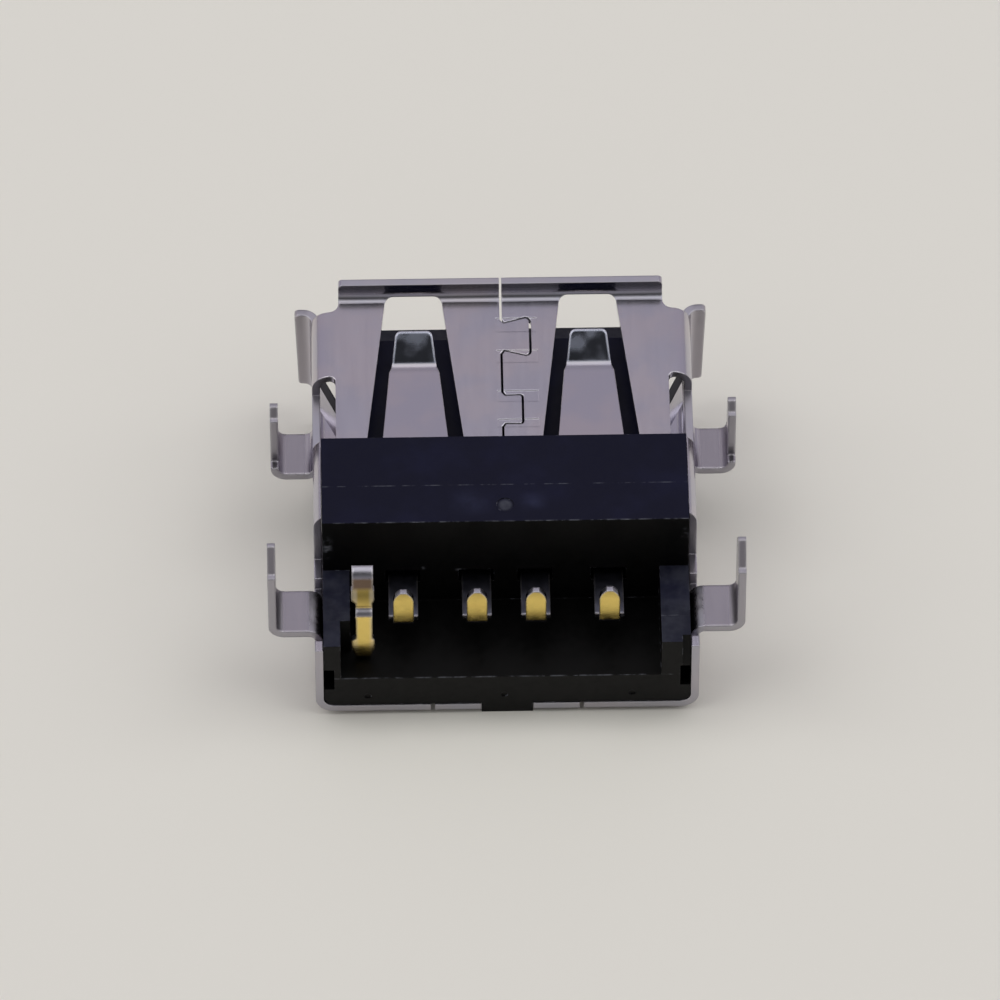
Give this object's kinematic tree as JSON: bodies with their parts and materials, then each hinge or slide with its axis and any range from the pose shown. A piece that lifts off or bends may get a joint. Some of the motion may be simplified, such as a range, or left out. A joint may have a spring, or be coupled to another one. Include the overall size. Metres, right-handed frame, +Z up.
{
  "type": "usb type a receptacle",
  "caption": "Board cut-out receptacle for a rectangular plug: folded steel shell with spring fingers, lipped mouth and tapered legs around a black moulding with bent contact tails.",
  "frame": {"origin": "under the middle of the part's outline, on the plane it lies on", "axes": "+X to the right seen from the rear, +Y out of the mouth, +Z up along the legs and tails"},
  "size_m": [0.0162, 0.0138, 0.0072],
  "materials": {
    "shell_steel": "bright rolled sheet, nickel plated",
    "black_moulding": "satin",
    "contact_plating": "pale gold flash, bare metal on the cut edges"
  },
  "bodies": {
    "root": {"shell": "shell_steel", "housing": "black_moulding", "contact_outer_left": "contact_plating", "contact_inner_left": "contact_plating", "contact_inner_right": "contact_plating", "contact_outer_right": "contact_plating", "detect_contact": "contact_plating"}
  },
  "joints": []
}
